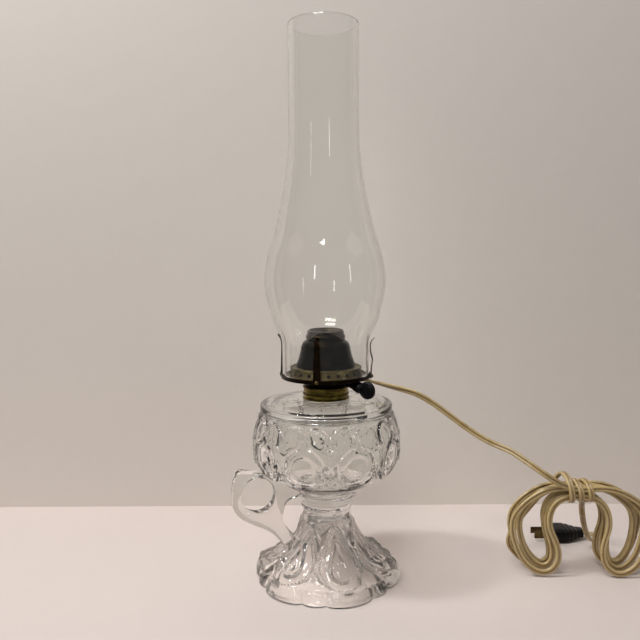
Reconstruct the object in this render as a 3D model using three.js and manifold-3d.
// Electrified oil lamp: a pressed-glass finger lamp whose burner carries an electric socket, a
// turn-key switch and a flat twin lead. Millimetres, +Z up, standing on z = 0.
// The finger handle points along -X, and the lead leaves along +X.

import * as THREE from "three";
import { mergeVertices } from "three/addons/utils/BufferGeometryUtils.js";
import Module from "manifold-3d";

const wasm = await Module();
wasm.setup();

// General allowances and step counts
const slip = 0.3;            // gap where two pieces do not lie flat on each other
const overrun = 3;           // how far a cutting shape runs past what it cuts
const weldDistance = 0.0001;
const roundSteps = 30;
const burnerSteps = 24;
const smallRoundSteps = 18;
const tinyRoundSteps = 8;

// Glass foot and stem
const footRadius = 65;
const pedestalHeight = 79;
const footWall = 6.5;
const jointRadius = 25.3;
const jointBandHeight = 4.2;
const stemRadius = 21.1;
const petalCount = 6;
const wideLobeShare = 1;
const narrowLobeShare = 0.965;
const notchShare = 0.915;
const narrowLobeAngleShare = 0.4;  // share of the half petal that the narrow lobe takes
const pedestalSteps = 60;

// Glass font (the old oil reservoir)
const fontSpreadShare = 0.986;       // of the foot's radius
const fontHeight = 82;
const fontWall = 5;
const fontFloor = 6.5;
const rimShare = 0.902;              // of the font's radius
const rimBandHeight = 5;
const rimBead = 1.3;
const neckRadius = 15.3;
const neckHeight = 4;
const neckBore = 12.5;

// Glass finger handle
const handleOverhang = 21.6;         // how far it reaches past the font
const handleRingOuter = 22.5;
const handleRingInner = 14.7;
const handleCentreRise = 2;          // from the font's underside up to the ring's centre
const handleThickness = 11;
const handleEdgeRound = 2;

// Collar, cement and burner body
const collarRadius = 19.4;
const collarWall = 2.1;
const collarHeight = 11.4;
const collarBead = 0.6;
const cementHeight = 3.7;
const thimbleRadius = 18.9;
const thimbleHeight = 6.8;
const thimbleWall = 1.3;
const skirtDepth = 6.4;

// Gallery that the chimney stands in
const sheet = 0.8;
const galleryRise = 0.9;
const galleryOpening = 16.5;
const galleryFloorRadius = 25;
const lipHeight = 2;
const lipDrop = 0.8;
const deckRise = 8.1;
const deckFlange = 1.2;
const ventCount = 24;
const ventRadius = 1.5;

// Chimney
const chimneyBaseRadius = 37.9;
const chimneyBulgeRadius = 52.2;
const chimneyTopRadius = 30.1;
const chimneyWaistRadius = 29.8;
const chimneyHeight = 295.8;
const chimneyWall = 1.6;
const chimneyStraight = 32.5;

// Spring prongs
const prongAzimuths = { front: -120, right: -30, back: 60, left: 150 };
const prongHeight = 37;
const prongFootWidth = 6.8;
const prongTipWidth = 4.4;
const prongFlare = 3.4;
const rivetShank = 0.6;
const rivetHead = 1.5;
const rivetHeadHeight = 0.8;

// Electric socket
const domeBaseRadius = 25.6;
const domeTopRadius = 16;
const domeHeight = 31.4;
const domeWall = 1;
const shellBore = 13.2;
const shellWall = 0.6;
const sleeveWall = 0.8;
const sleeveProud = 0.6;
const socketBaseRadius = 17;
const socketBaseHeight = 7.5;
const contactWidth = 6;
const contactLength = 12;
const contactThickness = 0.8;
const contactDimple = 1.6;

// Rotary switch and its key
const switchRadius = 11;
const switchFlangeRadius = 21;
const switchFlangeHeight = 2;
const switchDrop = 6;
const switchHead = 3;
const keyAzimuth = -59;
const keyTilt = 9;
const keyWallHeightShare = 0.62;     // height of the shaft where it meets the thimble wall
const shaftRadius = 1.5;
const shaftEnd = 30;
const shaftStart = 4;
const camRadius = 2.8;
const camLength = 5;
const camLobe = 0.6;
const bushingRadius = 2.4;
const bushingLength = 2.4;
const keyReach = 44.8;
const paddleRadius = 7.5;
const paddleThickness = 4.4;
const paddleEdge = 1.2;
const keyNeckRadius = 3.2;
const keyNeckTipRadius = 2.5;
const keyNeckStart = 22.6;

// Terminals and leads inside the burner
const terminalWidth = 6;
const terminalHeight = 7;
const terminalAzimuths = { neutral: 90, hot: -90 };
const screwShank = 1.1;
const screwHead = 2.2;
const screwHeadHeight = 1.2;
const screwDepth = 3;
const leadRadius = 1.05;
const leadRiseAzimuth = 25;          // where a lead passes the switch, from +X
const leadTurnShare = 0.8;           // of that place's x, where the lead has turned outward

// Flat twin cord, its bushing and its plug
const cordWidth = 5.4;
const cordThickness = 2.8;
const grommetWidth = 9.2;
const grommetHeight = 5.6;
const grommetFlange = 0.9;
const grommetNose = 3.4;
const leadSpacing = 1.4;
const plugWidth = 26;
const plugThickness = 13;
const plugLength = 33;
const plugDiscThickness = 0.8;
const bladeWidth = 6.4;
const bladeThickness = 1.5;
const bladeLength = 16;
const bladeSpacing = 12.7;

// The hank: loops gathered at a waist and bound there, standing on the ends of its two lobes
const hankLoops = 5;
const hankSteps = 24;
const hankAzimuth = -19;             // the way that the hank's length faces
const hankReach = 208.8;             // from the lamp's axis to the middle of the waist
const hankAside = -71.9;
const hankHeight = 76;               // from the lobes' ends up to the middle of the waist
const hankSpan = 33;
const hankLobeWidth = 33;
const hankWaistHalf = 3.3;
const hankPitch = 3.5;               // step from one loop to the next
const wrapTurns = 2.75;
const wrapPitch = 8.6;
const wrapLift = 9.6;                // how high the first, loose turn stands off the bundle

const axisOffset = handleOverhang / 2;
const fontRadius = footRadius * fontSpreadShare;
const rimRadius = fontRadius * rimShare;
const handleReach = fontRadius + handleOverhang;
const handleCentreHeight = pedestalHeight + handleCentreRise;

// Heights, from the table up
const fontTop = pedestalHeight + fontHeight;
const neckTop = fontTop + neckHeight;
const collarTop = fontTop + collarHeight;
const thimbleTop = collarTop + thimbleHeight;
const galleryFloorTop = thimbleTop + sheet;
const seatTop = galleryFloorTop + galleryRise;
const deckTop = seatTop + deckRise;
const domeTop = deckTop + domeHeight;
const switchFlangeTop = galleryFloorTop + switchFlangeHeight;
const switchTop = switchFlangeTop + switchHead;
const socketBaseTop = switchTop + socketBaseHeight;
const seatRadius = chimneyBaseRadius + slip;

// Finishes
const finish = (color, roughness, metalness, extra = {}) =>
  new THREE.MeshStandardMaterial({ color, roughness, metalness, ...extra });
const pressedGlass = finish(0xdfe3e0, 0.08, 0, { transparent: true, opacity: 0.45 });
const thinGlass = finish(0xeef2f2, 0.04, 0, { transparent: true, opacity: 0.25 });
const oldBrass = finish(0x8a6a2c, 0.38, 1);
const darkBrass = finish(0x4a3a20, 0.5, 1);
const blackMetal = finish(0x1d1713, 0.55, 0.8);
const blackPlastic = finish(0x0c0b0b, 0.3, 0);
const brownPlastic = finish(0x2c1a10, 0.45, 0);
const fibre = finish(0x3a322a, 0.9, 0);
const plaster = finish(0xc9c1ae, 0.95, 0);
const steel = finish(0x9b9da0, 0.35, 1);
const cordGold = finish(0xa48a5c, 0.55, 0);
const nickel = finish(0xb9b2a2, 0.3, 1);

const degrees = (angle) => THREE.MathUtils.degToRad(angle);
const range = (count) => Array.from({ length: count }, (_, i) => i);

// Merges shared corners, drops faces without area and turns the faces outward
function weld(geometry) {
  const bare = geometry.index ? geometry.toNonIndexed() : geometry.clone();
  for (const name of Object.keys(bare.attributes)) {
    if (name !== "position") bare.deleteAttribute(name);
  }
  const merged = mergeVertices(bare, weldDistance);
  const place = merged.attributes.position;
  const corner = (i) => new THREE.Vector3().fromBufferAttribute(place, i);
  const kept = [];
  let volume = 0;
  for (let i = 0; i < merged.index.count; i += 3) {
    const [a, b, c] = [0, 1, 2].map((k) => merged.index.getX(i + k));
    if (a === b || b === c || a === c) continue;
    kept.push([a, b, c]);
    volume += corner(a).dot(corner(b).cross(corner(c)));
  }
  merged.setIndex((volume < 0 ? kept.map(([a, b, c]) => [a, c, b]) : kept).flat());
  return merged;
}

function toSolid(geometry) {
  const merged = weld(geometry);
  return new wasm.Manifold(new wasm.Mesh({
    numProp: 3,
    vertProperties: new Float32Array(merged.attributes.position.array),
    triVerts: new Uint32Array(merged.index.array),
  }));
}

function fromSolid(solid) {
  const mesh = solid.getMesh();
  const geometry = new THREE.BufferGeometry();
  const count = mesh.vertProperties.length / mesh.numProp;
  const places = range(count).flatMap((i) =>
    Array.from(mesh.vertProperties.slice(i * mesh.numProp, i * mesh.numProp + 3)));
  geometry.setAttribute("position", new THREE.Float32BufferAttribute(places, 3));
  geometry.setIndex(Array.from(mesh.triVerts));
  return geometry;
}

const cut = (geometry, ...tools) =>
  fromSolid(tools.reduce((solid, tool) => solid.subtract(toSolid(tool)), toSolid(geometry)));
const join = (geometry, ...others) =>
  fromSolid(others.reduce((solid, other) => solid.add(toSolid(other)), toSolid(geometry)));

// A turned shape: the profile is a list of [radius, height]
function turned(profile, steps = roundSteps) {
  const points = profile.map(([radius, height]) => new THREE.Vector2(radius, height));
  return new THREE.LatheGeometry(points, steps).rotateX(Math.PI / 2);
}

const ringProfile = (inner, outer, low, high) =>
  [[inner, low], [outer, low], [outer, high], [inner, high], [inner, low]];
const rodProfile = (radius, low, high) => [[0, low], [radius, low], [radius, high], [0, high]];

// A skin over rings of equal count: ends are closed with fans
function skinned(rings) {
  const places = [];
  const triangle = (...corners) => corners.forEach((p) => places.push(p.x, p.y, p.z));
  const count = rings[0].length;
  for (let i = 0; i + 1 < rings.length; i += 1) {
    for (let j = 0; j < count; j += 1) {
      const k = (j + 1) % count;
      triangle(rings[i][j], rings[i][k], rings[i + 1][j]);
      triangle(rings[i][k], rings[i + 1][k], rings[i + 1][j]);
    }
  }
  const [first, last] = [rings[0], rings[rings.length - 1]];
  for (let j = 1; j + 1 < count; j += 1) {
    triangle(first[0], first[j + 1], first[j]);
    triangle(last[0], last[j], last[j + 1]);
  }
  const geometry = new THREE.BufferGeometry();
  geometry.setAttribute("position", new THREE.Float32BufferAttribute(places, 3));
  return geometry;
}

// Moves a [radius, height] line sideways by a distance, to its left when it is positive
function shifted(line, distance) {
  return line.map(([radius, height], i) => {
    const before = line[Math.max(i - 1, 0)];
    const after = line[Math.min(i + 1, line.length - 1)];
    const along = new THREE.Vector2(after[0] - before[0], after[1] - before[1]).normalize();
    return [Math.max(radius - along.y * distance, 0), height + along.x * distance];
  });
}

const lamp = new THREE.Group();
lamp.position.x = axisOffset;

function add(name, geometry, material, parent = lamp) {
  const mesh = new THREE.Mesh(weld(geometry), material);
  mesh.name = name;
  parent.add(mesh);
  return mesh;
}

function turnedGroup(azimuth, parent = lamp) {
  const group = new THREE.Group();
  group.rotation.z = degrees(azimuth);
  parent.add(group);
  return group;
}

// Glass font, with shares of its radius and height from the joint upward
const fontSideShares = [
  [0.415, 0.017], [0.535, 0.059], [0.668, 0.112], [0.799, 0.187], [0.903, 0.25], [0.956, 0.335],
  [0.992, 0.451], [1, 0.567], [0.972, 0.707], [0.917, 0.823],
];
const fontShoulderShares = [[0.811, 0.95], [0.624, 0.977], [0.421, 0.994], [0.309, 1]];
const fontPoint = ([radius, height]) =>
  [radius * fontRadius, pedestalHeight + height * fontHeight];
const fontSide = fontSideShares.map(fontPoint);
const fontShoulder = fontShoulderShares.map(fontPoint);
const rimTop = fontShoulder[0][1];

function fontOutline() {
  const rimLow = rimTop - rimBandHeight;
  return [
    [0, pedestalHeight], [jointRadius - rimBead, pedestalHeight], ...fontSide,
    [rimRadius - rimBead, rimLow - rimBead], [rimRadius, rimLow], [rimRadius, rimTop - rimBead],
    [rimRadius - rimBead, rimTop], [rimRadius - 3 * rimBead, rimTop - rimBead / 2],
    ...fontShoulder,
  ];
}

function fontGeometry() {
  const floor = pedestalHeight + fontFloor;
  const inside = shifted([...fontSide, ...fontShoulder].filter((_, i) => i % 2 === 1), fontWall)
    .map(([radius, height]) => [radius, Math.max(height, floor)]);
  const ceiling = inside[inside.length - 1][1];
  return turned([
    ...fontOutline(), [neckRadius, fontTop], [neckRadius, neckTop], [neckBore, neckTop],
    [neckBore, ceiling], ...inside.reverse(), [0, floor],
  ]);
}
add("font", fontGeometry(), pressedGlass);

// Glass foot and stem: round at the joint, twelve lobes at the edge
const pedestalSideShares = [
  [0.374, 0.93], [0.337, 0.823], [0.325, 0.777], [0.332, 0.709], [0.354, 0.62], [0.389, 0.544],
  [0.438, 0.468], [0.515, 0.38], [0.615, 0.297], [0.738, 0.222], [0.846, 0.171], [0.931, 0.146],
  [0.985, 0.12], [1, 0.089],
];
const stemShare = Math.min(...pedestalSideShares.map(([radius]) => radius));
const lobeStartShare = 0.4;
const lobeFullShare = 0.85;
const cavitySkip = 3;                // points of the side left out of the hollow, at each end
const pedestalSide = pedestalSideShares.map(([radius, height]) => {
  const flare = (radius - stemShare) / (1 - stemShare);
  return [stemRadius + flare * (footRadius - stemRadius), height * pedestalHeight];
});

function pedestalOutline() {
  const bandLow = pedestalHeight - jointBandHeight;
  return [[0, pedestalHeight], [jointRadius, pedestalHeight], [jointRadius, bandLow],
    ...pedestalSide, [footRadius, 0]];
}

function edgeShare(angle) {
  const half = Math.PI / petalCount;
  const turn = (angle / half) % 2;
  const fromNarrow = Math.min(turn, 2 - turn);
  if (fromNarrow < narrowLobeAngleShare) {
    const across = fromNarrow / narrowLobeAngleShare;
    return notchShare + (narrowLobeShare - notchShare) * (1 - across * across);
  }
  const across = (1 - fromNarrow) / (1 - narrowLobeAngleShare);
  return notchShare + (wideLobeShare - notchShare) * Math.sqrt(1 - across * across);
}

function lobedRing([radius, height]) {
  const span = (lobeFullShare - lobeStartShare) * footRadius;
  const reached = (radius - lobeStartShare * footRadius) / span;
  const weight = THREE.MathUtils.clamp(reached, 0, 1);
  return range(pedestalSteps).map((i) => {
    const angle = (i / pedestalSteps) * 2 * Math.PI;
    const r = radius * (1 - weight * (1 - edgeShare(angle)));
    return new THREE.Vector3(r * Math.cos(angle), r * Math.sin(angle), height);
  });
}

function pedestalGeometry() {
  const under = pedestalSide.slice(cavitySkip, -cavitySkip).filter((_, i) => i % 2 === 0);
  const cavity = shifted(under, -footWall);
  const [crownRadius, crownHeight] = cavity[0];
  const profile = [
    ...pedestalOutline(), [footRadius - footWall, 0], ...cavity.reverse(),
    [0, crownHeight + crownRadius / 2],
  ];
  return skinned(profile.map(lobedRing));
}
add("pedestal", pedestalGeometry(), pressedGlass);

// Glass finger handle: its outline in shares of the ring's outer radius, from the ring's centre
const handleOutlineShares = [
  [-0.85, 0.75], [-0.32, 0.83], [0.08, 0.91], [0.44, 1], [0.7, 1.04], [0.82, 0.98],
  [0.87, 0.84], [0.95, 0.48], [1, 0.15], [1, -0.2], [0.93, -0.5], [0.72, -0.8], [0.3, -1.08],
  [-0.23, -1.37], [-0.59, -1.62], [-0.87, -1.95], [-1.14, -2.51], [-1.85, -2.1],
  [-1.85, -1.69], [-1.45, -1.8], [-0.97, -1.1], [-1, -0.77], [-1.14, -0.41], [-1.36, -0.32],
  [-1.51, -0.27], [-1.86, -0.3], [-1.86, 0.06], [-1.49, 0.36],
];
const handleCentreReach = handleReach - handleRingOuter;

function handleGeometry() {
  const outline = new THREE.Shape(handleOutlineShares.map(([out, up]) => new THREE.Vector2(
    -(handleCentreReach + out * handleRingOuter), handleCentreHeight + up * handleRingOuter)));
  const hole = new THREE.Path();
  hole.absarc(-handleCentreReach, handleCentreHeight, handleRingInner, 0, 2 * Math.PI, true);
  outline.holes.push(hole);
  const plate = new THREE.ExtrudeGeometry(outline, {
    depth: handleThickness - 2 * handleEdgeRound, curveSegments: tinyRoundSteps,
    bevelEnabled: true, bevelThickness: handleEdgeRound, bevelSize: handleEdgeRound,
    bevelOffset: -handleEdgeRound, bevelSegments: 1,
  });
  plate.translate(0, 0, handleEdgeRound - handleThickness / 2).rotateX(Math.PI / 2);
  const fontSpace = turned([...shifted(fontOutline(), -slip), [0, fontTop + overrun]]
    .map(([radius, height]) => [radius, Math.max(height, pedestalHeight - slip)]));
  const pedestalSpace = turned([...shifted(pedestalOutline(), slip), [0, -overrun]],
    pedestalSteps);
  return cut(plate, fontSpace, pedestalSpace);
}
add("finger_handle", handleGeometry(), pressedGlass);

// Collar cemented on the font's neck
const collarBore = collarRadius - collarWall;
add("collar_cement", turned(ringProfile(neckRadius + slip, collarBore - slip, fontTop,
  fontTop + cementHeight), smallRoundSteps), plaster);
add("font_collar", turned([
  [collarBore, fontTop], [collarRadius + collarBead, fontTop],
  [collarRadius, fontTop + 2 * collarBead], [collarRadius, fontTop + 5 * collarBead],
  [collarRadius + collarBead, fontTop + 6 * collarBead],
  [collarRadius, fontTop + 7 * collarBead], [collarRadius, collarTop - 3 * collarBead],
  [collarRadius + collarBead, collarTop - 2 * collarBead], [collarRadius, collarTop],
  [collarBore, collarTop], [collarBore, fontTop],
], burnerSteps), oldBrass);

// The key's shaft leaves the burner at an angle; this matrix places what is cut for it
const keyWallHeight = collarTop + keyWallHeightShare * thimbleHeight;
const keyTurn = Math.PI / 2 + degrees(keyTilt);
const keyHeightAt = (radius) =>
  keyWallHeight - (radius - thimbleRadius) * Math.tan(degrees(keyTilt));
const alongReach = (radius) => radius / Math.cos(degrees(keyTilt));
const keyMatrix = new THREE.Matrix4().makeRotationZ(degrees(keyAzimuth))
  .multiply(new THREE.Matrix4().makeTranslation(0, 0, keyHeightAt(0)))
  .multiply(new THREE.Matrix4().makeRotationY(keyTurn));
const alongKey = (geometry) => geometry.applyMatrix4(keyMatrix);

// A flat rounded bar along +X at the cord's height
const cordHeight = collarTop + thimbleHeight / 2;
const barrelWidth = grommetWidth - 2 * grommetFlange;
const barrelHeight = grommetHeight - 2 * grommetFlange;
function flatBar(width, height, from, to) {
  const section = new THREE.Shape();
  const half = (width - height) / 2;
  section.absarc(half, 0, height / 2, -Math.PI / 2, Math.PI / 2, false);
  section.absarc(-half, 0, height / 2, Math.PI / 2, 3 * Math.PI / 2, false);
  const bar = new THREE.ExtrudeGeometry(section, {
    depth: to - from, bevelEnabled: false, curveSegments: 4,
  });
  return bar.rotateZ(Math.PI / 2).rotateY(Math.PI / 2).translate(from, 0, cordHeight);
}

// Burner body that screws into the collar, with holes for the switch shaft and the lead
const thimbleBore = thimbleRadius - thimbleWall;
const skirtRadius = collarBore - slip;
function thimbleGeometry() {
  const low = collarTop - skirtDepth;
  const body = turned([
    [skirtRadius - thimbleWall, low], [skirtRadius, low], [skirtRadius, collarTop],
    [thimbleRadius, collarTop], [thimbleRadius, thimbleTop], [thimbleBore, thimbleTop],
    [thimbleBore, collarTop + thimbleWall / 2], [skirtRadius - thimbleWall, collarTop],
    [skirtRadius - thimbleWall, low],
  ], burnerSteps);
  const shaftHole = alongKey(turned(rodProfile(shaftRadius + slip, thimbleBore / 2,
    thimbleRadius + overrun), tinyRoundSteps));
  const cordHole = flatBar(barrelWidth + 2 * slip, barrelHeight + 2 * slip, thimbleBore / 2,
    thimbleRadius + overrun);
  return cut(body, shaftHole, cordHole);
}
add("burner_thimble", thimbleGeometry(), blackMetal);

// Gallery: floor, seat for the chimney and outer lip
const lipRadius = seatRadius + sheet;
const seatStart = chimneyBaseRadius - chimneyWall - 3 * sheet;
const galleryLipTop = seatTop + lipHeight;
const galleryLipLow = seatTop - sheet - lipDrop;
const rivetHeight = (galleryLipLow + galleryLipTop) / 2;
const rivetPin = (radius, from, to) => turned(rodProfile(radius, from, to), tinyRoundSteps)
  .rotateY(Math.PI / 2).translate(0, 0, rivetHeight);
const rivetHole = () => rivetPin(rivetShank + slip, seatRadius - slip, lipRadius + overrun);

function galleryGeometry() {
  const dish = turned([
    [galleryOpening, thimbleTop], [galleryFloorRadius, thimbleTop],
    [seatStart, seatTop - sheet], [seatRadius, seatTop - sheet], [seatRadius, galleryLipLow],
    [lipRadius, galleryLipLow], [lipRadius, galleryLipTop], [seatRadius, galleryLipTop],
    [seatRadius, seatTop], [seatStart - sheet, seatTop],
    [galleryFloorRadius - sheet, galleryFloorTop], [galleryOpening, galleryFloorTop],
    [galleryOpening, thimbleTop],
  ]);
  const holes = Object.values(prongAzimuths)
    .map((azimuth) => rivetHole().rotateZ(degrees(azimuth)));
  return cut(dish, ...holes);
}
add("gallery_ring", galleryGeometry(), darkBrass);

// Perforated deck between the gallery and the socket dome
const deckOuter = seatStart - slip;
const deckFlangeInner = deckOuter - deckFlange;
const deckTopRadius = deckFlangeInner - 2 * sheet;
const deckOpening = domeBaseRadius - domeWall - 2 * sheet;
function deckGeometry() {
  const shell = turned([
    [deckFlangeInner - sheet, seatTop], [deckOuter, seatTop], [deckOuter, seatTop + sheet],
    [deckFlangeInner, seatTop + sheet], [deckTopRadius, deckTop], [deckOpening, deckTop],
    [deckOpening, deckTop - sheet], [deckTopRadius - sheet, deckTop - sheet],
    [deckFlangeInner - sheet, seatTop],
  ], ventCount);
  const ventHeight = (seatTop + deckTop) / 2;
  const tools = range(ventCount).map((i) => turned(rodProfile(ventRadius, deckOpening / 2,
    deckOuter + overrun), 6).rotateY(Math.PI / 2).translate(0, 0, ventHeight)
    .rotateZ((i + 0.5) / ventCount * 2 * Math.PI));
  return cut(shell, ...tools);
}
add("burner_deck", deckGeometry(), oldBrass);

// Chimney, one blown piece in the real lamp: the straight fitter that stands in the gallery, and
// the bulge and tube above it, in shares of the rise from fitter to top and of the swell
const chimneyShares = [
  [0.15, 0.017], [0.51, 0.06], [0.86, 0.13], [1, 0.185], [0.986, 0.212], [0.86, 0.277],
  [0.61, 0.339], [0.35, 0.43], [0.11, 0.545], [0.02, 0.634], [0, 0.747],
];
function chimneyGeometry() {
  const low = seatTop + chimneyStraight;
  const rise = chimneyHeight - chimneyStraight;
  const widest = chimneyShares.findIndex(([swell]) => swell === 1);
  const side = chimneyShares.map(([swell, up], i) => {
    const start = i < widest ? chimneyBaseRadius : chimneyWaistRadius;
    return [start + swell * (chimneyBulgeRadius - start), low + up * rise];
  });
  const outside = [[chimneyBaseRadius, low], ...side, [chimneyTopRadius, seatTop + chimneyHeight]];
  const inside = shifted(outside, chimneyWall).reverse();
  inside[0][1] = seatTop + chimneyHeight;
  inside[inside.length - 1] = [chimneyBaseRadius - chimneyWall, low];
  return turned([...outside, ...inside, outside[0]]);
}
add("chimney", chimneyGeometry(), thinGlass);
add("chimney_fitter", turned(ringProfile(chimneyBaseRadius - chimneyWall, chimneyBaseRadius,
  seatTop, seatTop + chimneyStraight)), thinGlass);

// Four spring prongs riveted outside the gallery's lip; each row gives the share of the way in
// to the glass, the share of the flare and the share of the height
const prongInner = lipRadius + slip;
const prongOuter = prongInner + sheet;
const prongShares = [
  [0, 0, 0], [0, 0, 0.12], [1, 0, 0.28], [1, 0, 0.85], [0, 0.45, 0.94], [0, 1, 1],
];
const prongHug = prongInner - chimneyBaseRadius - slip;
function prongGeometry() {
  const rings = prongShares.map(([inward, flare, up]) => {
    const radius = prongInner - inward * prongHug + flare * prongFlare;
    const half = (prongFootWidth + up * (prongTipWidth - prongFootWidth)) / 2;
    const height = galleryLipLow + up * prongHeight;
    return [[radius, -half], [radius + sheet, -half], [radius + sheet, half], [radius, half]]
      .map(([x, y]) => new THREE.Vector3(x, y, height));
  });
  return cut(skinned(rings), rivetHole());
}
for (const [side, azimuth] of Object.entries(prongAzimuths)) {
  const place = turnedGroup(azimuth);
  add(`prong_${side}`, prongGeometry(), darkBrass, place);
  const head = rivetPin(rivetHead, prongOuter + slip, prongOuter + slip + rivetHeadHeight);
  const shank = rivetPin(rivetShank, seatRadius + slip / 2, prongOuter + 2 * slip);
  add(`prong_rivet_${side}`, join(head, shank), oldBrass, place);
}

// Stepped dome over the socket: shares of its spread from the top rim, and of its height
const domeShares = [
  [1, 0], [1, 0.04], [0.98, 0.09], [0.71, 0.32], [0.55, 0.556], [0.365, 0.71], [0.08, 0.787],
  [0.11, 0.85], [0, 0.9], [0, 1],
];
function domeGeometry() {
  const spread = domeBaseRadius - domeTopRadius;
  const outside = domeShares.map(([out, up]) =>
    [domeTopRadius + out * spread, deckTop + up * domeHeight]);
  const inside = outside.map(([radius, height]) => [radius - domeWall, height])
    .filter((_, i) => i !== 1).reverse();
  return turned([...outside, ...inside, outside[0]], burnerSteps);
}
add("socket_dome", domeGeometry(), blackMetal);

// Socket inside the dome: moulded base, centre contact, screw shell and fibre sleeve
const shellRadius = shellBore + shellWall;
const sleeveRadius = domeTopRadius - domeWall - slip;
const terminalHeightMiddle = (switchTop + socketBaseTop) / 2;
const screwPin = (radius, from, to) => turned(rodProfile(radius, from, to), tinyRoundSteps)
  .rotateY(Math.PI / 2).translate(0, 0, terminalHeightMiddle);
const screwHole = () => screwPin(screwShank + slip, socketBaseRadius - screwDepth - slip,
  socketBaseRadius + overrun);

function socketBaseGeometry() {
  const block = turned(rodProfile(socketBaseRadius, switchTop, socketBaseTop), smallRoundSteps);
  const holes = Object.values(terminalAzimuths)
    .map((azimuth) => screwHole().rotateZ(degrees(azimuth)));
  return cut(block, ...holes);
}
add("socket_base", socketBaseGeometry(), brownPlastic);
add("screw_shell", turned(ringProfile(shellBore, shellRadius, socketBaseTop,
  domeTop - sleeveProud - slip), smallRoundSteps), oldBrass);
add("socket_sleeve", turned(ringProfile(sleeveRadius - sleeveWall, sleeveRadius, socketBaseTop,
  domeTop + sleeveProud), smallRoundSteps), fibre);

function contactGeometry() {
  const side = new THREE.Shape();
  const half = contactLength / 2;
  side.moveTo(-half, 0);
  side.lineTo(half, 0);
  side.lineTo(half, contactThickness);
  side.quadraticCurveTo(0, contactThickness + 2 * contactDimple, -half, contactThickness);
  side.closePath();
  const strip = new THREE.ExtrudeGeometry(side, {
    depth: contactWidth, bevelEnabled: false, curveSegments: 6,
  });
  return strip.translate(0, 0, -contactWidth / 2).rotateX(Math.PI / 2)
    .translate(0, 0, socketBaseTop);
}
add("centre_contact", contactGeometry(), oldBrass);

// Rotary switch hung through the gallery: the key turns a shaft with a cam inside it
const camReach = camRadius + camLobe;
function leadHole(side) {
  return turned(rodProfile(leadRadius + slip, galleryFloorTop - overrun,
    switchFlangeTop + overrun / 2), tinyRoundSteps).translate(leadRise.x, side * leadRise.y, 0);
}
const leadRiseReach = (switchRadius + galleryOpening) / 2;
const leadRise = {
  x: leadRiseReach * Math.cos(degrees(leadRiseAzimuth)),
  y: leadRiseReach * Math.sin(degrees(leadRiseAzimuth)),
};

function switchGeometry() {
  const body = turned([
    [0, galleryFloorTop - switchDrop], [switchRadius, galleryFloorTop - switchDrop],
    [switchRadius, galleryFloorTop], [switchFlangeRadius, galleryFloorTop],
    [switchFlangeRadius, switchFlangeTop], [switchRadius, switchFlangeTop],
    [switchRadius, switchTop], [0, switchTop],
  ], smallRoundSteps);
  const bore = alongKey(turned(rodProfile(camReach + slip, shaftStart - slip,
    switchRadius + overrun), smallRoundSteps));
  return cut(body, bore, leadHole(1), leadHole(-1));
}
add("switch_body", switchGeometry(), brownPlastic);

const keyPlace = turnedGroup(keyAzimuth);
const keyLine = new THREE.Group();
keyLine.position.z = keyHeightAt(0);
keyLine.rotation.y = keyTurn;
keyPlace.add(keyLine);
add("switch_shaft", turned(rodProfile(shaftRadius, shaftStart, shaftEnd), smallRoundSteps), steel,
  keyLine);

function camGeometry() {
  const outline = new THREE.Shape(range(smallRoundSteps).map((i) => {
    const angle = (i / smallRoundSteps) * 2 * Math.PI;
    const reach = camRadius + camLobe * Math.cos(2 * angle);
    return new THREE.Vector2(reach * Math.cos(angle), reach * Math.sin(angle));
  }));
  const hole = new THREE.Path();
  hole.absarc(0, 0, shaftRadius + slip, 0, 2 * Math.PI, true);
  outline.holes.push(hole);
  return new THREE.ExtrudeGeometry(outline, {
    depth: camLength, bevelEnabled: false, curveSegments: tinyRoundSteps,
  }).translate(0, 0, shaftStart);
}
add("switch_cam", camGeometry(), brownPlastic, keyLine);

const bushingLow = alongReach(thimbleRadius) + slip;
add("shaft_bushing", turned(ringProfile(shaftRadius + slip, bushingRadius, bushingLow,
  bushingLow + bushingLength), smallRoundSteps), darkBrass, keyLine);

function keyGeometry() {
  const half = paddleThickness / 2;
  const paddle = turned([
    [0, -half], [paddleRadius - paddleEdge, -half], [paddleRadius, -half + paddleEdge],
    [paddleRadius, half - paddleEdge], [paddleRadius - paddleEdge, half], [0, half],
  ], smallRoundSteps).rotateX(Math.PI / 2).translate(0, 0, alongReach(keyReach));
  const neck = turned([
    [0, keyNeckStart], [keyNeckRadius - sheet, keyNeckStart],
    [keyNeckRadius, keyNeckStart + sheet], [keyNeckTipRadius, alongReach(keyReach) - paddleRadius],
    [keyNeckTipRadius, alongReach(keyReach)], [0, alongReach(keyReach)],
  ], smallRoundSteps);
  const bore = turned(rodProfile(shaftRadius + slip, keyNeckStart - overrun, shaftEnd + slip),
    tinyRoundSteps);
  return cut(join(paddle, neck), bore);
}
add("key_knob", keyGeometry(), blackPlastic, keyLine);

// Terminal plates on the socket base, each with its screw
for (const [pole, azimuth] of Object.entries(terminalAzimuths)) {
  const place = turnedGroup(azimuth);
  const plate = new THREE.BoxGeometry(sheet, terminalWidth, terminalHeight)
    .translate(socketBaseRadius + slip + sheet / 2, 0, terminalHeightMiddle);
  add(`terminal_plate_${pole}`, cut(plate, screwHole()), oldBrass, place);
  const headStart = socketBaseRadius + 2 * slip + sheet;
  const head = screwPin(screwHead, headStart, headStart + screwHeadHeight);
  const shank = screwPin(screwShank, socketBaseRadius - screwDepth, headStart + slip);
  add(`terminal_screw_${pole}`, join(head, shank), nickel, place);
}

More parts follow.
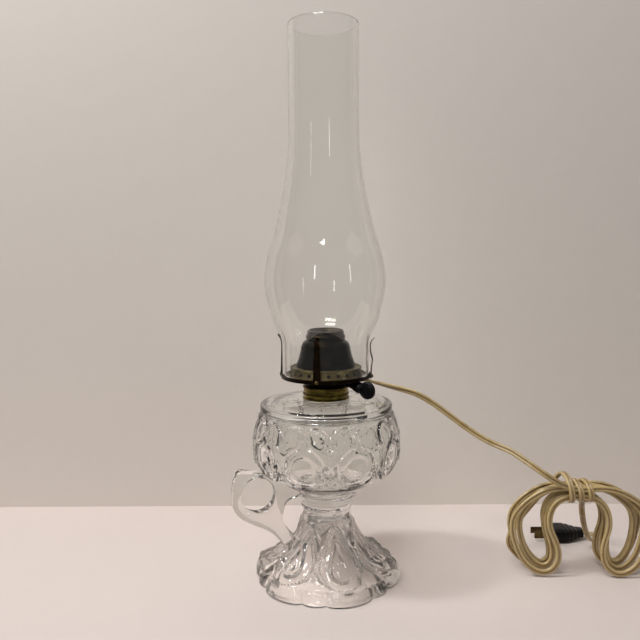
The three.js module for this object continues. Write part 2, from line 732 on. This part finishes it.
// Bushing in the burner's wall where the lead comes out
const grommetStart = thimbleRadius + slip;
const grommetEnd = grommetStart + grommetNose;
const slotWidth = 2 * (leadSpacing + leadRadius + slip);
const slotHeight = 2 * (leadRadius + slip);
function grommetGeometry() {
  const barrel = flatBar(barrelWidth, barrelHeight, thimbleBore - sheet, grommetEnd);
  const flange = flatBar(grommetWidth, grommetHeight, grommetStart, grommetStart + grommetFlange);
  const slot = flatBar(slotWidth, slotHeight, thimbleBore / 2, grommetEnd + overrun);
  return cut(join(barrel, flange), slot);
}
add("cord_grommet", grommetGeometry(), blackPlastic);

// Two insulated leads from the bushing, up past the switch, to the terminals
function leadGeometry(side) {
  const rise = switchFlangeTop + leadRadius + 2 * slip;
  const out = (socketBaseRadius + domeBaseRadius) / 2 - domeWall;
  const beside = screwHead + leadRadius + slip;
  const route = [
    [grommetEnd, side * leadSpacing, cordHeight],
    [thimbleBore - sheet, side * leadSpacing, cordHeight],
    [(leadRise.x + thimbleBore) / 2, side * (leadSpacing + leadRadius), cordHeight + slip],
    [leadRise.x, side * leadRise.y, galleryFloorTop - leadRadius],
    [leadRise.x, side * leadRise.y, switchFlangeTop],
    [leadRise.x, side * (leadRise.y + leadRadius), rise],
    [leadRise.x * leadTurnShare, side * (switchRadius + 2 * leadRadius), rise],
    [beside + leadRadius, side * out, rise + leadRadius],
    [beside, side * out, terminalHeightMiddle],
  ].map(([x, y, z]) => new THREE.Vector3(x, y, z));
  const section = new THREE.Shape(range(6).map((i) => new THREE.Vector2(
    leadRadius * Math.cos(i * Math.PI / 3), leadRadius * Math.sin(i * Math.PI / 3))));
  return new THREE.ExtrudeGeometry(section, {
    steps: 20, extrudePath: new THREE.CatmullRomCurve3(route, false, "centripetal"),
  });
}
add("lead_neutral", leadGeometry(1), fibre);
add("lead_hot", leadGeometry(-1), cordGold);

// Free stretch of the flat lead, from the bushing to the hank, as [x, y, z] from the lamp's axis
const cordStart = grommetEnd + slip;
const freeRoute = [
  [cordStart, 0, cordHeight], [33, 0, 175], [42.4, -0.8, 172.6], [55.4, -1.1, 168.4],
  [68.2, -2.3, 164.6], [82.3, -5.1, 160], [91.1, -7, 155.7], [102.8, -11.1, 147.7],
  [115.7, -16.6, 137.2], [128.1, -22.9, 127], [139.3, -31, 118.7], [149.7, -39.9, 113],
];
// Where the hank takes it over its left lobe to the waist, as [x, y, z] in the hank's own frame
const entryRoute = [[-53, 2, 32], [-40, -8, 24], [-27, -12.2, 15], [-14, -10.2, 7.5]];

// The hank's own frame: x along its length, y through it, z up, from the middle of its waist
const hankFrame = new THREE.Matrix4().makeTranslation(hankReach, hankAside, hankHeight)
  .multiply(new THREE.Matrix4().makeRotationZ(degrees(hankAzimuth)));
const leftSpineShares = [[0, 0], [-0.5, -0.03], [-0.93, -0.25], [-1, -0.62], [-0.8, -0.96]];
const rightSpineShares = [[0, 0], [0.5, -0.03], [0.95, -0.23], [1.12, -0.6], [1.08, -0.96]];
const spineOf = (shares) => new THREE.CatmullRomCurve3(shares.map(([along, up]) =>
  new THREE.Vector3(along * hankSpan, 0, up * hankHeight)));
const leftSpine = spineOf(leftSpineShares);
const rightSpine = spineOf(rightSpineShares);
const waistStartShare = 0.17;
const waistEndShare = 0.62;
const innerStartShare = 0.42;
const innerEndShare = 1;
const loopShrinkShare = 0.45;
const loopRiseShare = 0.07;
const fanShare = 0.5;
const lobePower = 0.8;

// One point of the loops: turn 0 is on top of the waist, and each turn goes round both lobes. On
// a lobe's inner side the loop opens late, because it hangs straight down from the waist first.
function loopPoint(turn) {
  const angle = 2 * Math.PI * turn;
  const reach = Math.abs(Math.sin(angle)) ** lobePower;
  const spine = Math.sin(angle) < 0 ? leftSpine : rightSpine;
  const middle = Math.sin(Math.PI * turn / hankLoops) ** 2;
  const at = spine.getPoint(reach);
  const along = spine.getTangent(reach);
  const outward = Math.sin(angle) < 0 ? new THREE.Vector3(along.z, 0, -along.x)
    : new THREE.Vector3(-along.z, 0, along.x);
  const open = Math.cos(angle) < 0
    ? THREE.MathUtils.smoothstep(reach, innerStartShare, innerEndShare)
    : THREE.MathUtils.smoothstep(reach, waistStartShare, waistEndShare);
  const width = hankWaistHalf
    + open * (hankLobeWidth * (1 - loopShrinkShare * middle) - hankWaistHalf);
  at.z *= 1 - loopRiseShare * middle * reach;
  at.addScaledVector(outward, Math.cos(angle) * width);
  at.y = (turn - hankLoops / 2) * hankPitch * (1 + fanShare * reach);
  return at;
}

// One point of the turns that bind the waist, the first of them loose
const bundleDepth = (hankLoops / 2) * hankPitch + cordThickness + 3 * slip;
const bundleHeight = hankWaistHalf + cordWidth / 2 + cordThickness / 2 + 6 * slip;
function wrapPoint(turn) {
  const angle = 2 * Math.PI * turn;
  const loose = wrapLift * Math.max(1 - turn, 0) ** 2;
  return new THREE.Vector3((turn - wrapTurns / 2) * wrapPitch,
    (bundleDepth + loose / 2) * Math.cos(angle), (bundleHeight + loose) * Math.sin(angle));
}

// From the last turn down to the plug, in shares of the hank's span and height
const tailShares = [
  [0.36, 0.42, -0.2], [0.55, 0.9, -0.45], [0.85, 1.3, -0.78], [1.15, 1.6, -0.93],
  [1.42, 1.85, -0.93], [1.32, 2.1, -0.92], [1.05, 2.16, -0.915],
];
const loopStopShare = 0.976;
const wrapStartShare = 0.06;
const tailPoints = tailShares.map(([along, through, up]) =>
  new THREE.Vector3(along * hankSpan, through * hankSpan, up * hankHeight));
const tailEnd = tailPoints[tailPoints.length - 1];

// The way that the flat lead's thin side faces: through the hank, off the waist, or up
function hankRoute() {
  const loops = range(hankLoops * hankSteps).map((i) => (i / hankSteps))
    .filter((turn) => turn <= hankLoops * loopStopShare)
    .map((turn) => ({ at: loopPoint(turn), thin: new THREE.Vector3(0, 1, 0) }));
  const wraps = range(wrapTurns * hankSteps).map((i) => i / hankSteps)
    .filter((turn) => turn >= wrapStartShare)
    .map((turn) => {
      const angle = 2 * Math.PI * turn;
      return { at: wrapPoint(turn), thin: new THREE.Vector3(0, Math.cos(angle), Math.sin(angle)) };
    });
  const tail = new THREE.CatmullRomCurve3([wraps[wraps.length - 1].at, ...tailPoints])
    .getSpacedPoints(hankSteps).slice(1)
    .map((at) => ({ at, thin: new THREE.Vector3(0, 0, -1) }));
  const entryPoints = entryRoute.map((point) => new THREE.Vector3(...point));
  const entryCurve = new THREE.CatmullRomCurve3([...entryPoints, loopPoint(0),
    loopPoint(1 / hankSteps)]);
  const entrySteps = 2 * entryRoute.length;
  const entry = range(entrySteps).map((i) => ({
    at: entryCurve.getPoint(i / entrySteps * entryRoute.length / (entryRoute.length + 1)),
    thin: new THREE.Vector3(0, 1, 0),
  }));
  return [...entry, ...loops, ...wraps, ...tail];
}

const softenSteps = 3;
const sectionShares = [[1, 0], [0.5, 1], [-0.5, 1], [-1, 0], [-0.5, -1], [0.5, -1]];
function hankRings() {
  const route = hankRoute();
  const softened = route.map((_, i) => route
    .slice(Math.max(i - softenSteps, 0), i + softenSteps + 1)
    .reduce((sum, { thin }) => sum.add(thin), new THREE.Vector3()));
  return route.map(({ at }, i) => {
    const before = route[Math.max(i - 1, 0)].at;
    const after = route[Math.min(i + 1, route.length - 1)].at;
    const along = after.clone().sub(before).normalize();
    const thin = softened[i].addScaledVector(along, -softened[i].dot(along)).normalize();
    const wide = along.clone().cross(thin);
    return sectionShares.map(([across, up]) => at.clone()
      .addScaledVector(wide, across * cordWidth / 2)
      .addScaledVector(thin, up * cordThickness / 2));
  });
}

// Least distance from the hank's tube to itself, over points on its skin
function leastGap(rings) {
  const dense = rings.map((ring) => ring.flatMap((p, i) => {
    const next = ring[(i + 1) % ring.length];
    return [p, p.clone().lerp(next, 0.5)];
  }));
  const apart = Math.ceil(hankSteps / 3);
  let least = Infinity;
  for (let i = 0; i < dense.length; i += 1) {
    for (let j = i + apart; j < dense.length; j += 1) {
      if (rings[i][0].distanceTo(rings[j][0]) > 3 * cordWidth) continue;
      for (const p of dense[i]) for (const q of dense[j]) least = Math.min(least, p.distanceTo(q));
    }
  }
  return least;
}

const rings = hankRings();
console.log(`hank: least gap to itself ${leastGap(rings).toFixed(2)} mm`);
add("cord_hank", skinned(rings).applyMatrix4(hankFrame), cordGold);

function freeCordGeometry() {
  const [end, next] = entryRoute.slice(0, 2)
    .map((point) => new THREE.Vector3(...point).applyMatrix4(hankFrame));
  const ahead = next.sub(end).normalize();
  const stop = end.clone().addScaledVector(ahead, -slip);
  const straight = stop.clone().addScaledVector(ahead, -cordWidth);
  const points = [...freeRoute.map((point) => new THREE.Vector3(...point)), straight, stop];
  const section = new THREE.Shape(range(tinyRoundSteps).map((i) => {
    const angle = (i / tinyRoundSteps) * 2 * Math.PI;
    return new THREE.Vector2(cordThickness / 2 * Math.cos(angle), cordWidth / 2 * Math.sin(angle));
  }));
  const path = new THREE.CatmullRomCurve3(points, false, "centripetal");
  console.log(`free stretch: ${path.getLength().toFixed(0)} mm`);
  return new THREE.ExtrudeGeometry(section, { steps: 24, extrudePath: path });
}
add("cord", freeCordGeometry(), cordGold);

// Plug on the table behind the hank, its blades toward -X of the hank's frame
const plugPlace = new THREE.Group();
plugPlace.applyMatrix4(hankFrame);
const plugAt = new THREE.Group();
plugAt.position.set(tailEnd.x - slip, tailEnd.y, plugThickness / 2 - hankHeight);
plugPlace.add(plugAt);
lamp.add(plugPlace);

const plugEdgeShare = 0.2;
const plugShares = [[0, 0.45], [0.55, 1], [1, 1]];  // along the plug, and of its width
const discShare = 0.8;
const bladeRoot = bladeLength / 3;
function plugGeometry() {
  const rings = plugShares.map(([along, width]) => {
    const halfWidth = width * plugWidth / 2;
    const halfHeight = plugThickness / 2;
    const edge = plugEdgeShare * plugThickness;
    return [
      [-halfWidth, edge - halfHeight], [edge - halfWidth, -halfHeight],
      [halfWidth - edge, -halfHeight], [halfWidth, edge - halfHeight],
      [halfWidth, halfHeight - edge], [halfWidth - edge, halfHeight],
      [edge - halfWidth, halfHeight], [-halfWidth, halfHeight - edge],
    ].map(([y, z]) => new THREE.Vector3(-along * plugLength, y, z));
  });
  const sockets = [-1, 1].map((side) => new THREE.BoxGeometry(bladeRoot + slip,
    bladeThickness + 2 * slip, bladeWidth + 2 * slip)
    .translate(-plugLength + (bladeRoot + slip) / 2 - slip, side * bladeSpacing / 2, 0));
  return cut(skinned(rings), ...sockets);
}
add("plug_body", plugGeometry(), blackPlastic, plugAt);

const discFace = -plugLength - slip;
const disc = new THREE.BoxGeometry(plugDiscThickness, plugWidth * discShare,
  plugThickness * discShare).translate(discFace - plugDiscThickness / 2, 0, 0);
const discSlots = [-1, 1].map((side) => new THREE.BoxGeometry(overrun, bladeThickness + 2 * slip,
  bladeWidth + 2 * slip).translate(discFace, side * bladeSpacing / 2, 0));
add("plug_disc", cut(disc, ...discSlots), fibre, plugAt);
for (const [name, side] of [["plug_blade_1", -1], ["plug_blade_2", 1]]) {
  const blade = new THREE.BoxGeometry(bladeLength + bladeRoot, bladeThickness, bladeWidth)
    .translate(-plugLength - (bladeLength - bladeRoot) / 2, side * bladeSpacing / 2, 0);
  add(name, blade, oldBrass, plugAt);
}

const model = new THREE.Group();
model.add(lamp);
export default model;
